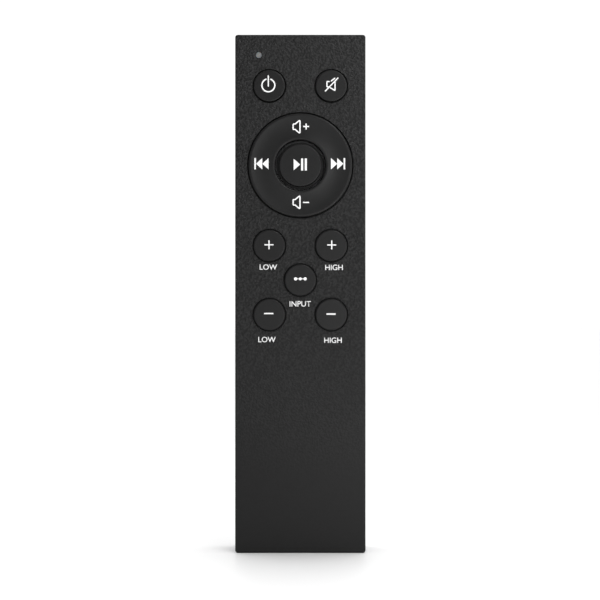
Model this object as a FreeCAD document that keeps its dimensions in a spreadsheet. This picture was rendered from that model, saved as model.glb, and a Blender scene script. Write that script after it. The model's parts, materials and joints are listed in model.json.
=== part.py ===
import FreeCAD, Part
import os
import re
import Sketcher

# A handheld remote control for a soundbar, standing on its bottom end.
# X runs across it, Y from its front to its back, Z up its length.
# The origin is the middle of the bottom end.

# Driving dimensions, in millimetres. Each name is a cell of the sheet.
SIZES = (
    # Outer case
    ("case_width", 38.0),
    ("case_height", 151.0),
    ("case_depth", 16.0),
    ("corner_radius", 0.8),
    ("front_round", 0.5),
    ("back_round", 1.2),
    ("seam_chamfer", 0.2),
    ("front_wall", 1.8),
    ("side_wall", 1.6),
    ("rear_wall", 1.6),
    # Round keys: cap, the flange that keeps it in, and its hole
    ("key_radius", 4.6),
    ("key_gap", 0.36),
    ("key_proud", 0.9),
    ("key_round", 0.4),
    ("key_flange", 0.9),
    ("flange_reach", 0.9),
    ("flange_gap", 0.15),
    ("key_travel", 0.8),
    # Key rows, measured down from the top end, and the two side columns
    ("column_reach", 9.0),
    ("top_row_drop", 15.0),
    ("ring_drop", 38.1),
    ("plus_row_drop", 61.5),
    ("source_row_drop", 71.5),
    ("minus_row_drop", 81.55),
    # Four-way ring and the play key inside it
    ("ring_radius", 15.1),
    ("ring_hole_radius", 7.35),
    ("ring_gap", 0.4),
    ("ring_proud", 0.9),
    ("ring_round", 0.5),
    ("ring_dish", 0.22),
    ("ring_rim", 0.75),
    ("ring_flange", 0.9),
    ("ring_flange_reach", 1.5),
    ("ring_tilt_room", 0.9),
    ("ring_foot_reach", 11.4),
    ("play_radius", 6.2),
    ("play_flange_reach", 0.6),
    # Silicone keypad and its carbon pills
    ("boss_radius", 2.6),
    ("boss_length", 1.35),
    ("dome_radius", 4.2),
    ("dome_web", 0.35),
    ("dome_height", 1.1),
    ("mat_thick", 1.0),
    ("mat_side_gap", 1.9),
    ("mat_low_margin", 1.2),
    ("mat_high_margin", 2.3),
    ("foot_well_gap", 0.5),
    ("pill_radius", 1.9),
    ("pill_thick", 0.3),
    ("foot_pill_thick", 0.45),
    ("press_gap", 0.05),
    ("ring_pad_inset", 0.6),
    # Circuit board
    ("board_thick", 1.2),
    ("board_gap", 0.6),
    ("board_low_gap", 0.7),
    ("board_high_gap", 1.8),
    ("board_hole_gap", 0.2),
    ("contact_thick", 0.05),
    ("contact_slit", 0.4),
    ("contact_lap", 0.2),
    ("split_gap", 0.4),
    # Control chip and its leads
    ("chip_drop", 14.0),
    ("chip_width", 5.3),
    ("chip_length", 12.4),
    ("chip_height", 1.7),
    ("chip_stand", 0.1),
    ("lead_pitch", 1.27),
    ("lead_reach", 3.4),
    ("lead_length", 1.5),
    ("lead_width", 0.42),
    ("lead_height", 0.3),
    # Other parts soldered to the board
    ("side_reach", 9.5),
    ("resonator_width", 3.2),
    ("resonator_length", 7.0),
    ("resonator_height", 1.2),
    ("can_radius", 2.5),
    ("can_height", 5.4),
    ("small_width", 1.25),
    ("small_length", 2.0),
    ("small_pitch", 4.0),
    ("resistor_height", 0.5),
    ("capacitor_height", 0.8),
    ("transistor_reach", 6.0),
    ("transistor_width", 1.4),
    ("transistor_length", 2.9),
    ("transistor_height", 1.0),
    ("leg_spread", 0.95),
    ("leg_reach", 1.0),
    ("leg_length", 0.6),
    ("leg_width", 0.4),
    ("leg_height", 0.25),
    # Indicator and infrared lamp
    ("lens_reach", 12.1),
    ("lens_drop", 5.95),
    ("lens_radius", 0.85),
    ("lens_gap", 0.05),
    ("lens_sink", 0.15),
    ("lens_flange", 0.65),
    ("lens_back_gap", 1.0),
    ("lamp_chip_width", 1.6),
    ("lamp_chip_length", 1.2),
    ("lamp_chip_height", 0.8),
    ("lamp_radius", 1.5),
    ("lamp_stand", 2.0),
    ("lamp_drop", 6.5),
    ("lamp_rim", 0.35),
    ("lamp_rim_height", 0.8),
    ("lamp_barrel", 4.0),
    ("wire_spread", 0.9),
    ("wire_half", 0.25),
    ("wire_length", 3.5),
    ("window_reach", 5.0),
    ("window_depth", 4.5),
    ("window_flange", 1.0),
    ("window_gap", 0.05),
    # Screws and their posts
    ("screw_radius", 1.0),
    ("screw_length", 7.0),
    ("screw_head_radius", 1.9),
    ("screw_head_height", 1.4),
    ("drive_half", 0.25),
    ("screw_seat", 3.4),
    ("screw_gap", 0.15),
    ("post_radius", 2.9),
    ("post_neck", 1.9),
    ("post_gap", 0.3),
    ("upper_screw_drop", 23.5),
    # Battery bay for two AAA cells side by side
    ("cell_radius", 5.25),
    ("cell_length", 44.5),
    ("cell_sleeve", 0.15),
    ("nub_radius", 1.9),
    ("nub_height", 1.2),
    ("cell_spacing", 1.1),
    ("cell_gap", 0.3),
    ("contact_stack", 2.2),
    ("strip_thick", 0.3),
    ("bay_start", 7.0),
    ("bay_wall", 1.2),
    ("bay_stand", 0.3),
    ("divider_drop", 1.0),
    ("plate_half", 4.0),
    ("plate_rise", 3.0),
    ("tail_half", 1.5),
    ("tail_lap", 1.5),
    ("dimple_radius", 1.5),
    ("leaf_half", 3.6),
    ("leaf_flat", 1.2),
    ("leaf_width", 4.0),
    ("leaf_lift", 0.4),
    ("sleeve_inset", 0.4),
    # Battery door, its hinge tabs and its latch
    ("door_thick", 1.5),
    ("door_gap", 0.25),
    ("door_margin", 4.0),
    ("door_lap", 1.5),
    ("door_corner", 0.6),
    ("tab_width", 1.8),
    ("tab_side_gap", 0.2),
    ("tab_thick", 1.2),
    ("tab_reach", 2.3),
    ("tab_foot", 1.8),
    ("latch_width", 8.0),
    ("latch_thick", 0.9),
    ("latch_height", 4.5),
    ("latch_depth", 5.0),
    ("hook_reach", 0.9),
    ("hook_thick", 1.1),
    ("well_gap", 0.5),
    ("grip_depth", 0.4),
    ("grip_width", 0.6),
    ("grip_start", 8.2),
    ("grip_pitch", 1.4),
    ("hidden_gap", 0.2),
    ("latch_sink", 1.1),
    ("latch_tip_gap", 0.4),
    ("thumb_height", 2.6),
)

# Places worked out from the sheet. Y grows from the front face to the back.
FRONT = "(-case_depth / 2)"
WALL_BACK = f"({FRONT} + front_wall)"
# The back moves out where the cells need more room than the case's own depth gives
CELL_STACK = "(bay_stand + bay_wall + 2 * cell_radius + 1.5 * cell_gap + rear_wall)"
BACK = f"(max(case_depth / 2; {WALL_BACK} + {CELL_STACK}))"
REAR_WALL = f"({BACK} - rear_wall)"
CAP_FRONT = f"({FRONT} - key_proud)"
FLANGE_FRONT = f"({WALL_BACK} + flange_gap)"
FLANGE_BACK = f"({FLANGE_FRONT} + key_flange)"
PILL_FRONT = f"({FLANGE_BACK} + boss_length)"
PILL_BACK = f"({PILL_FRONT} + pill_thick)"
CONTACT_FRONT = f"({PILL_BACK} + key_travel + press_gap)"
BOARD_FRONT = f"({CONTACT_FRONT} + contact_thick)"
BOARD_BACK = f"({BOARD_FRONT} + board_thick)"
SPLIT = f"({BOARD_BACK} + split_gap)"
MAT_FRONT = f"({BOARD_FRONT} - mat_thick)"
RING_FRONT = f"({FRONT} - ring_proud)"
RING_FLANGE_FRONT = f"({WALL_BACK} + ring_tilt_room)"
RING_BACK = f"({RING_FLANGE_FRONT} + ring_flange)"
SCREW_SEAT = f"({BOARD_BACK} + screw_seat)"
SCREW_TIP = f"({SCREW_SEAT} - screw_length)"
LAMP_Y = f"({BOARD_BACK} + lamp_stand)"

# Z up the length
TOP = "case_height"
TOP_ROW = "(case_height - top_row_drop)"
RING_Z = "(case_height - ring_drop)"
PLUS_ROW = "(case_height - plus_row_drop)"
SOURCE_ROW = "(case_height - source_row_drop)"
MINUS_ROW = "(case_height - minus_row_drop)"
LENS_Z = "(case_height - lens_drop)"
BAY_TOP = "(bay_start + cell_length + 2 * contact_stack)"
BAY_END = f"({BAY_TOP} + bay_wall)"
DOOR_BOTTOM = "(bay_start - door_lap)"
DOOR_TOP = f"({BAY_END} + well_gap + latch_depth)"
BOARD_BOTTOM = f"({BAY_END} + board_low_gap)"
BOARD_TOP = "(case_height - side_wall - board_high_gap)"

# X across it
HALF = "(case_width / 2)"
INNER = "(case_width / 2 - side_wall)"
BOARD_HALF = f"({INNER} - board_gap)"
MAT_HALF = f"({INNER} - mat_side_gap)"
UPPER_SCREW_X = f"({INNER} - post_radius - post_gap)"
CELL_X = "(cell_radius + cell_spacing / 2)"
BAY_HALF = f"({CELL_X} + cell_radius + cell_gap)"
BAY_OUTER = f"({BAY_HALF} + bay_wall)"
DOOR_HALF = f"(max({HALF} - door_margin; {BAY_OUTER} + tab_side_gap + tab_width + door_gap))"
DOOR_FRONT = f"({BACK} - door_thick)"
LOWER_SCREW_X = f"({DOOR_HALF} - post_radius - post_gap)"
CELL_Y = f"({REAR_WALL} - cell_gap / 2 - cell_radius)"
BAY_FLOOR = f"({CELL_Y} - cell_radius - cell_gap)"
LATCH_FLOOR = f"({REAR_WALL} + latch_sink - latch_height)"
TAB_X = f"({DOOR_HALF} - door_gap - tab_width / 2)"

# Each round key: its node, and where its middle is
KEYS = (
    ("power_key", "-column_reach", TOP_ROW),
    ("mute_key", "column_reach", TOP_ROW),
    ("play_key", "0", RING_Z),
    ("bass_up_key", "-column_reach", PLUS_ROW),
    ("treble_up_key", "column_reach", PLUS_ROW),
    ("source_key", "0", SOURCE_ROW),
    ("bass_down_key", "-column_reach", MINUS_ROW),
    ("treble_down_key", "column_reach", MINUS_ROW),
)

# The ring's four feet, as offsets from its middle
RING_FEET = (
    ("0", f"{RING_Z} + ring_foot_reach"),
    ("ring_foot_reach", RING_Z),
    ("0", f"{RING_Z} - ring_foot_reach"),
    ("-ring_foot_reach", RING_Z),
)

# Two screws above the ring, and two above the battery bay that the door covers
SCREWS = tuple(
    (f"{side} * {reach}", height)
    for reach, height in (
        (UPPER_SCREW_X, "case_height - upper_screw_drop"),
        (LOWER_SCREW_X, f"{BAY_END} + post_radius + post_gap"),
    )
    for side in ("-1", "1")
)

doc = FreeCAD.newDocument("soundbar_remote")
sheet = doc.addObject("Spreadsheet::Sheet", "sizes")
parts = []


def fill_sheet():
    """One cell for each driving dimension."""
    for row, (name, size) in enumerate(SIZES, start=1):
        sheet.set(f"A{row}", str(size))
        sheet.setAlias(f"A{row}", name)
    doc.recompute()


def formula(text):
    """The text with each size's name pointing at its cell."""
    return re.sub(r"[a-z]+(?:_[a-z]+)+", lambda word: "sizes." + word.group(), text)


def bind(made, path, text):
    """Ties one property of an object to the sheet."""
    made.setExpression(path, formula(text))


def keep(made, label):
    """Names an object as a finished sub-part."""
    made.Label = label
    parts.append(made)
    return made


# Part primitives. A span is a (low, high) pair of formulas.


def block(name, x, y, z):
    made = doc.addObject("Part::Box", name)
    for size, axis, (low, high) in (("Length", "x", x), ("Width", "y", y), ("Height", "z", z)):
        bind(made, size, f"({high}) - ({low})")
        bind(made, f"Placement.Base.{axis}", low)
    return made


def stand(made, x, y, z, turned):
    """Puts a round primitive on its place. Turned, it points to the front."""
    if turned:
        made.Placement = FreeCAD.Placement(FreeCAD.Vector(), FreeCAD.Rotation(FreeCAD.Vector(1, 0, 0), 90))
    for axis, text in (("x", x), ("y", y), ("z", z)):
        bind(made, f"Placement.Base.{axis}", text)
    return made


def disc(name, place, radius, front, back):
    """A cylinder along Y."""
    made = doc.addObject("Part::Cylinder", name)
    bind(made, "Radius", radius)
    bind(made, "Height", f"({back}) - ({front})")
    return stand(made, place[0], back, place[1], turned=True)


def cone(name, place, back_radius, front_radius, front, back):
    """A cone along Y."""
    made = doc.addObject("Part::Cone", name)
    bind(made, "Radius1", back_radius)
    bind(made, "Radius2", front_radius)
    bind(made, "Height", f"({back}) - ({front})")
    return stand(made, place[0], back, place[1], turned=True)


def upright(name, place, radius, low, high):
    """A cylinder along Z. Its place is (x, y)."""
    made = doc.addObject("Part::Cylinder", name)
    bind(made, "Radius", radius)
    bind(made, "Height", f"({high}) - ({low})")
    return stand(made, place[0], place[1], low, turned=False)


def joined(name, pieces):
    made = doc.addObject("Part::MultiFuse", name)
    made.Shapes = pieces
    return made


def less(name, base, tool):
    made = doc.addObject("Part::Cut", name)
    made.Base = base
    made.Tool = tool
    return made


def group(name, pieces):
    """Separate solids that share one node."""
    made = doc.addObject("Part::Compound", name)
    made.Links = pieces
    return made


# PartDesign bodies


def new_body(name):
    return doc.addObject("PartDesign::Body", name + "_body")


def new_sketch(body, name, role, offset):
    """A sketch on one of the body's own origin planes, moved along the plane's normal."""
    sketch = body.newObject("Sketcher::SketchObject", name)
    plane = [feature for feature in body.Origin.OriginFeatures if feature.Role == role][0]
    sketch.AttachmentSupport = [(plane, "")]
    sketch.MapMode = "FlatFace"
    bind(sketch, "AttachmentOffset.Base.z", offset)
    return sketch


def dimension(sketch, constraint, text):
    index = sketch.addConstraint(constraint)
    bind(sketch, f"Constraints[{index}]", text)


def pin_point(sketch, geometry, point, across, up):
    """Fixes a point's two distances from the sketch's origin, starting from where it is drawn."""
    drawn = sketch.getPoint(geometry, point)
    dimension(sketch, Sketcher.Constraint("DistanceX", -1, 1, geometry, point, drawn.x), across)
    dimension(sketch, Sketcher.Constraint("DistanceY", -1, 1, geometry, point, drawn.y), up)


def draw_round(sketch, across, up, radius):
    circle = Part.Circle(FreeCAD.Vector(), FreeCAD.Vector(0, 0, 1), 1.0)
    index = sketch.addGeometry(circle, False)
    pin_point(sketch, index, 3, across, up)
    dimension(sketch, Sketcher.Constraint("Radius", index, 1.0), radius)


def draw_outline(sketch, points):
    """A closed outline of straight edges with every corner pinned."""
    count = len(points)
    first = sketch.GeometryCount
    rough = [FreeCAD.Vector(i, i * i, 0) for i in range(count)]
    for i in range(count):
        sketch.addGeometry(Part.LineSegment(rough[i], rough[(i + 1) % count]), False)
    for i in range(count):
        following = first + (i + 1) % count
        sketch.addConstraint(Sketcher.Constraint("Coincident", first + i, 2, following, 1))
    for i, (across, up) in enumerate(points):
        pin_point(sketch, first + i, 1, across, up)


def rectangle(across, up):
    (left, right), (low, high) = across, up
    return [(left, low), (right, low), (right, high), (left, high)]


def both_sides(half):
    return (f"-({half})", half)


def draw(sketch, shapes):
    """Outlines are lists of corners, and circles are (across, up, radius)."""
    for shape in shapes:
        if isinstance(shape, tuple):
            draw_round(sketch, *shape)
        else:
            draw_outline(sketch, shape)


def grow(body, kind, name, sketch, length):
    """Adds a Pad or Pocket, and proves that it added or removed material."""
    before = body.Shape.Volume if body.Tip else 0.0
    made = body.newObject("PartDesign::" + kind, name)
    made.Profile = sketch
    bind(made, "Length", length)
    doc.recompute()
    change = body.Shape.Volume - before
    if (change <= 0) if kind == "Pad" else (change >= 0):
        raise RuntimeError(f"{name} does nothing in {body.Name}")
    return made


def layer(body, kind, name, shapes, front, back):
    """A Pad or Pocket of shapes drawn in X and Z, from y = front to y = back."""
    start = back if kind == "Pad" else front
    sketch = new_sketch(body, name + "_sketch", "XZ_Plane", f"-({start})")
    draw(sketch, shapes)
    return grow(body, kind, name, sketch, f"({back}) - ({front})")


def slab(body, name, shapes, low, high):
    """A Pad of shapes drawn in Y and Z, from x = low to x = high."""
    sketch = new_sketch(body, name + "_sketch", "YZ_Plane", low)
    draw(sketch, shapes)
    return grow(body, "Pad", name, sketch, f"({high}) - ({low})")


def edges_of(body, wanted):
    """Names of the edges of the body's last feature that the test picks."""
    return [f"Edge{i}" for i, edge in enumerate(body.Tip.Shape.Edges, start=1) if wanted(edge)]


def dress(body, kind, name, size, wanted):
    """A Fillet or Chamfer on the edges that the test picks."""
    names = edges_of(body, wanted)
    base = body.Tip
    made = body.newObject("PartDesign::" + kind, name)
    made.Base = (base, names)
    bind(made, "Radius" if kind == "Fillet" else "Size", size)
    doc.recompute()


def at_y(edge, y):
    box = edge.BoundBox
    return abs(box.YMin - y) < 1e-4 and abs(box.YMax - y) < 1e-4


def along_y(edge):
    box = edge.BoundBox
    return box.XLength < 1e-4 and box.ZLength < 1e-4 and box.YLength > 1e-3


def case_block(body, front, back):
    """The rounded block that each half of the case is hollowed from."""
    layer(body, "Pad", "block", [rectangle(both_sides(HALF), ("0", TOP))], front, back)
    dress(body, "Fillet", "corners", "corner_radius", along_y)


def end_edges(body, side):
    """A test for the edges on the block's front (-1) or back (+1) face."""
    box = body.Shape.BoundBox
    y = box.YMin if side < 0 else box.YMax
    return lambda edge: at_y(edge, y)


def keys_except_play():
    return [key for key in KEYS if key[0] != "play_key"]


def front_case():
    """Front half of the case, with a hole for each key and four screw bosses."""
    body = new_body("front_case")
    case_block(body, FRONT, SPLIT)
    dress(body, "Fillet", "front_edge", "front_round", end_edges(body, -1))
    dress(body, "Chamfer", "seam", "seam_chamfer", end_edges(body, 1))
    hollow = rectangle(both_sides(INNER), ("side_wall", f"{TOP} - side_wall"))
    layer(body, "Pocket", "hollow", [hollow], WALL_BACK, SPLIT)
    shoulders = [(x, z, "post_radius") for x, z in SCREWS]
    layer(body, "Pad", "boss_shoulders", shoulders, WALL_BACK, BOARD_FRONT)
    necks = [(x, z, "post_neck") for x, z in SCREWS]
    layer(body, "Pad", "boss_necks", necks, BOARD_FRONT, BOARD_BACK)
    pilots = [(x, z, "screw_radius") for x, z in SCREWS]
    layer(body, "Pocket", "pilot_holes", pilots, SCREW_TIP, BOARD_BACK)
    holes = [(x, z, "key_radius + key_gap") for _, x, z in keys_except_play()]
    holes.append(("0", RING_Z, "ring_radius + ring_gap"))
    holes.append(("-lens_reach", LENS_Z, "lens_radius + lens_gap"))
    layer(body, "Pocket", "key_holes", holes, FRONT, WALL_BACK)
    keep(body, "front_case")


def rear_case():
    """Back half of the case, with the battery bay, the door's seat and the screw posts."""
    body = new_body("rear_case")
    case_block(body, SPLIT, BACK)
    dress(body, "Fillet", "back_edge", "back_round", end_edges(body, 1))
    dress(body, "Chamfer", "seam", "seam_chamfer", end_edges(body, -1))
    hollow = rectangle(both_sides(INNER), ("side_wall", f"{TOP} - side_wall"))
    layer(body, "Pocket", "hollow", [hollow], SPLIT, REAR_WALL)
    bay_outside = rectangle(both_sides(BAY_OUTER), ("bay_start - bay_wall", BAY_END))
    layer(body, "Pad", "bay_block", [bay_outside], f"{BAY_FLOOR} - bay_wall", REAR_WALL)
    seat = rectangle(both_sides(INNER), ("bay_start - bay_wall", f"{DOOR_TOP} + 2 * bay_wall"))
    layer(body, "Pad", "door_seat", [seat], f"{REAR_WALL} - bay_wall", REAR_WALL)
    well_half = "latch_width / 2 + well_gap"
    well_top = f"{DOOR_TOP} + hook_reach + well_gap"
    well_block = rectangle(both_sides(f"{well_half} + bay_wall"), (BAY_TOP, f"{well_top} + bay_wall"))
    layer(body, "Pad", "well_block", [well_block], f"{LATCH_FLOOR} - well_gap - bay_wall", REAR_WALL)
    posts = [(x, z, "post_radius") for x, z in SCREWS]
    layer(body, "Pad", "screw_posts", posts, BOARD_BACK, REAR_WALL)
    opening = rectangle(
        both_sides(f"{DOOR_HALF} + door_gap"), (f"{DOOR_BOTTOM} - door_gap", f"{DOOR_TOP} + door_gap")
    )
    layer(body, "Pocket", "door_opening", [opening], REAR_WALL, BACK)
    bay = rectangle(both_sides(BAY_HALF), ("bay_start", BAY_TOP))
    layer(body, "Pocket", "battery_bay", [bay], BAY_FLOOR, REAR_WALL)
    divider = rectangle(both_sides("cell_spacing / 4"), ("bay_start", BAY_TOP))
    layer(body, "Pad", "cell_divider", [divider], BAY_FLOOR, f"{CELL_Y} - divider_drop")
    well = rectangle(both_sides(well_half), (BAY_END, well_top))
    layer(body, "Pocket", "latch_well", [well], f"{LATCH_FLOOR} - well_gap", REAR_WALL)
    counterbores = [(x, z, "screw_head_radius + 2 * screw_gap") for x, z in SCREWS]
    layer(body, "Pocket", "screw_counterbores", counterbores, SCREW_SEAT, BACK)
    shafts = [(x, z, "screw_radius + screw_gap") for x, z in SCREWS]
    layer(body, "Pocket", "screw_holes", shafts, BOARD_BACK, SCREW_SEAT)
    swing = "1.5 * tab_reach + door_gap"
    notch_half = "(tab_width / 2 + door_gap)"
    notches = [
        rectangle(
            (f"{side} * {TAB_X} - {notch_half}", f"{side} * {TAB_X} + {notch_half}"),
            ("side_wall", f"{DOOR_BOTTOM} + {swing}"),
        )
        for side in ("-1", "1")
    ]
    layer(body, "Pocket", "tab_notches", notches, f"{REAR_WALL} - bay_wall", REAR_WALL)
    slot_half = "(tail_half + hidden_gap)"
    slots = [
        rectangle(
            (f"{side} * {CELL_X} - {slot_half}", f"{side} * {CELL_X} + {slot_half}"),
            (BAY_TOP, BAY_END),
        )
        for side in ("-1", "1")
    ]
    slot_back = f"{BOARD_BACK} + strip_thick + hidden_gap"
    layer(body, "Pocket", "contact_slots", slots, f"{BOARD_BACK} - hidden_gap", slot_back)
    window = rectangle(both_sides("window_reach"), (f"{TOP} - side_wall", TOP))
    layer(body, "Pocket", "window_notch", [window], SPLIT, f"{SPLIT} + window_depth")
    keep(body, "rear_case")


def battery_door():
    """Door over the battery bay: two tabs hook under the case below it, and a latch holds its top."""
    body = new_body("battery_door")
    panel = rectangle(both_sides(DOOR_HALF), (DOOR_BOTTOM, DOOR_TOP))
    layer(body, "Pad", "panel", [panel], DOOR_FRONT, BACK)
    dress(body, "Fillet", "corners", "door_corner", along_y)
    notch = rectangle(
        both_sides("latch_width / 2 + door_gap"), (f"{DOOR_TOP} - latch_depth", DOOR_TOP)
    )
    layer(body, "Pocket", "latch_notch", [notch], DOOR_FRONT, BACK)
    grooves = []
    for i in range(4):
        low = f"{DOOR_TOP} - grip_start - {i} * grip_pitch"
        grooves.append(rectangle(both_sides("latch_width"), (low, f"{low} + grip_width")))
    layer(body, "Pocket", "grip_grooves", grooves, f"{BACK} - grip_depth", BACK)
    tab_back = f"{REAR_WALL} - hidden_gap"
    tab_front = f"{tab_back} - tab_thick"
    tab = [
        (DOOR_FRONT, DOOR_BOTTOM),
        (tab_back, DOOR_BOTTOM),
        (tab_back, f"{DOOR_BOTTOM} - tab_reach"),
        (tab_front, f"{DOOR_BOTTOM} - tab_reach"),
        (tab_front, f"{DOOR_BOTTOM} + tab_foot"),
        (DOOR_FRONT, f"{DOOR_BOTTOM} + tab_foot"),
    ]
    for name, side in (("left_tab", "-1"), ("right_tab", "1")):
        middle = f"{side} * {TAB_X}"
        slab(body, name, [tab], f"{middle} - tab_width / 2", f"{middle} + tab_width / 2")
    keep(body, "battery_door")


def door_latch():
    """The door's sprung tongue: a U that bends, a thumb pad and a hook under the case's edge."""
    body = new_body("door_latch")
    root = f"{DOOR_TOP} - latch_depth"
    tip = f"{DOOR_TOP} - latch_tip_gap"
    hook_back = f"{REAR_WALL} - hidden_gap"
    pad_front = f"{BACK} - latch_thick"
    leg_back = f"{BACK} - latch_tip_gap"
    profile = [
        (leg_back, root),
        (LATCH_FLOOR, root),
        (LATCH_FLOOR, tip),
        (f"{hook_back} - hook_thick", tip),
        (f"{hook_back} - hook_thick / 2", f"{DOOR_TOP} + hook_reach"),
        (hook_back, f"{DOOR_TOP} + hook_reach"),
        (hook_back, tip),
        (BACK, tip),
        (BACK, f"{tip} - thumb_height"),
        (pad_front, f"{tip} - thumb_height"),
        (pad_front, f"{tip} - latch_thick"),
        (f"{LATCH_FLOOR} + latch_thick", f"{tip} - latch_thick"),
        (f"{LATCH_FLOOR} + latch_thick", f"{root} + latch_thick"),
        (leg_back, f"{root} + latch_thick"),
    ]
    low, high = both_sides("latch_width / 2")
    slab(body, "tongue", [profile], low, high)
    keep(body, "door_latch")


def key_cap(node, x, z, radius, reach):
    """A round cap with a rounded front edge, and the flange that keeps it behind the front wall."""
    body = new_body(node)
    layer(body, "Pad", "cap", [(x, z, radius)], CAP_FRONT, FLANGE_BACK)
    dress(body, "Fillet", "crown", "key_round", end_edges(body, -1))
    layer(body, "Pad", "flange", [(x, z, f"{radius} + {reach}")], FLANGE_FRONT, FLANGE_BACK)
    keep(body, node)


def key_caps():
    for node, x, z in KEYS:
        if node == "play_key":
            key_cap(node, x, z, "play_radius", "play_flange_reach")
        else:
            key_cap(node, x, z, "key_radius", "flange_reach")


def read(name):
    """A size as a number, for drawing a curve near its place before it is pinned."""
    return getattr(sheet, name)


def draw_dish(sketch):
    """The thin sliver between the ring's flat face and its hollow, and the ring's axis."""
    front = -read("case_depth") / 2 - read("ring_proud")
    middle = read("case_height") - read("ring_drop")
    low = middle + read("ring_hole_radius") + read("ring_rim")
    high = middle + read("ring_radius") - read("ring_rim")
    bottom = FreeCAD.Vector(front, low, 0)
    deepest = FreeCAD.Vector(front + read("ring_dish"), (low + high) / 2, 0)
    top = FreeCAD.Vector(front, high, 0)
    hollow = Part.Arc(bottom, deepest, top)
    curve = sketch.addGeometry(hollow, False)
    chord = sketch.addGeometry(Part.LineSegment(top, bottom), False)
    radius = sketch.Geometry[curve].Radius
    starts_low = sketch.getPoint(curve, 1).y < sketch.getPoint(curve, 2).y
    low_end, high_end = (1, 2) if starts_low else (2, 1)
    sketch.addConstraint(Sketcher.Constraint("Coincident", curve, high_end, chord, 1))
    sketch.addConstraint(Sketcher.Constraint("Coincident", curve, low_end, chord, 2))
    pin_point(sketch, chord, 2, RING_FRONT, f"{RING_Z} + ring_hole_radius + ring_rim")
    pin_point(sketch, chord, 1, RING_FRONT, f"{RING_Z} + ring_radius - ring_rim")
    half = "((ring_radius - ring_hole_radius) / 2 - ring_rim)"
    bend = f"({half} * {half} + ring_dish * ring_dish) / (2 * ring_dish)"
    dimension(sketch, Sketcher.Constraint("Radius", curve, radius), bend)
    start = FreeCAD.Vector(front, middle, 0)
    axis = sketch.addGeometry(Part.LineSegment(start, start + FreeCAD.Vector(5, 0, 0)), True)
    pin_point(sketch, axis, 1, RING_FRONT, RING_Z)
    pin_point(sketch, axis, 2, RING_BACK, RING_Z)


def volume_ring():
    """The four-way ring, a little hollow across its face, on a flange behind the front wall."""
    body = new_body("volume_ring")
    hole = ("0", RING_Z, "ring_hole_radius")
    layer(body, "Pad", "ring", [("0", RING_Z, "ring_radius"), hole], RING_FRONT, RING_BACK)
    dress(body, "Fillet", "rims", "ring_round", end_edges(body, -1))
    flange = ("0", RING_Z, "ring_radius + ring_flange_reach")
    layer(body, "Pad", "flange", [flange, hole], RING_FLANGE_FRONT, RING_BACK)
    dish = new_sketch(body, "dish_sketch", "YZ_Plane", "0")
    draw_dish(dish)
    doc.recompute()
    before = body.Shape.Volume
    groove = body.newObject("PartDesign::Groove", "dish")
    groove.Profile = dish
    groove.ReferenceAxis = (dish, ["Axis0"])
    groove.Angle = 360
    doc.recompute()
    if body.Shape.Volume >= before:
        raise RuntimeError("the dish cuts nothing")
    keep(body, "volume_ring")


def ring_pad():
    """Silicone ring under the four-way ring, which gives as it tilts."""
    body = new_body("ring_pad")
    outer = ("0", RING_Z, "ring_radius + ring_flange_reach - ring_pad_inset")
    inner = ("0", RING_Z, "ring_hole_radius + ring_pad_inset")
    layer(body, "Pad", "pad", [outer, inner], RING_BACK, MAT_FRONT)
    keep(body, "ring_pad")


def dome(node, x, z):
    """A hollow silicone cone that carries a boss in its middle."""
    top = f"{MAT_FRONT} - dome_height"
    outside = cone(node + "_web", (x, z), "dome_radius", "boss_radius", top, MAT_FRONT)
    inside = cone(
        node + "_well", (x, z), "dome_radius - 2 * dome_web", "boss_radius - 2 * dome_web",
        f"{top} + dome_web", MAT_FRONT,
    )
    web = less(node + "_skirt", outside, inside)
    boss = disc(node + "_boss", (x, z), "boss_radius", FLANGE_BACK, PILL_FRONT)
    return [web, boss]


def keypad_mat():
    """One silicone sheet on the board, with a dome under each key and a well under each foot."""
    sheet_z = (f"{MINUS_ROW} - dome_radius - mat_low_margin", f"{TOP_ROW} + dome_radius + mat_high_margin")
    sheet_body = block("mat_sheet", both_sides(MAT_HALF), (MAT_FRONT, BOARD_FRONT), sheet_z)
    wells = [
        disc(node + "_mat_well", (x, z), "dome_radius - 2 * dome_web", MAT_FRONT, BOARD_FRONT)
        for node, x, z in KEYS
    ]
    for i, (x, z) in enumerate(RING_FEET):
        wells.append(disc(f"foot_well_{i}", (x, z), "pill_radius + foot_well_gap", MAT_FRONT, BOARD_FRONT))
    for i, (x, z) in enumerate(SCREWS):
        wells.append(disc(f"mat_post_{i}", (x, z), "post_radius + post_gap", MAT_FRONT, BOARD_FRONT))
    pierced = less("mat_pierced", sheet_body, joined("mat_wells", wells))
    domes = [piece for node, x, z in KEYS for piece in dome(node, x, z)]
    keep(joined("mat", [pierced] + domes), "keypad_mat")


def carbon_pills():
    """A conductive disc under each key's boss, and one under each foot of the ring."""
    for node, x, z in KEYS:
        label = node.replace("_key", "_pill")
        keep(disc(label + "_disc", (x, z), "pill_radius", PILL_FRONT, PILL_BACK), label)
    foot_back = f"{MAT_FRONT} + foot_pill_thick"
    feet = [
        disc(f"foot_pill_{i}", (x, z), "pill_radius - contact_lap", MAT_FRONT, foot_back)
        for i, (x, z) in enumerate(RING_FEET)
    ]
    keep(group("foot_pills", feet), "ring_pills")


def circuit_board():
    """Board with a notch round each screw boss."""
    thickness = (BOARD_FRONT, BOARD_BACK)
    board = block("board_sheet", both_sides(BOARD_HALF), thickness, (BOARD_BOTTOM, BOARD_TOP))
    holes = [
        disc(f"board_hole_{i}", (x, z), "post_neck + board_hole_gap", BOARD_FRONT, BOARD_BACK)
        for i, (x, z) in enumerate(SCREWS)
    ]
    keep(less("board", board, joined("board_holes", holes)), "circuit_board")


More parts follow.
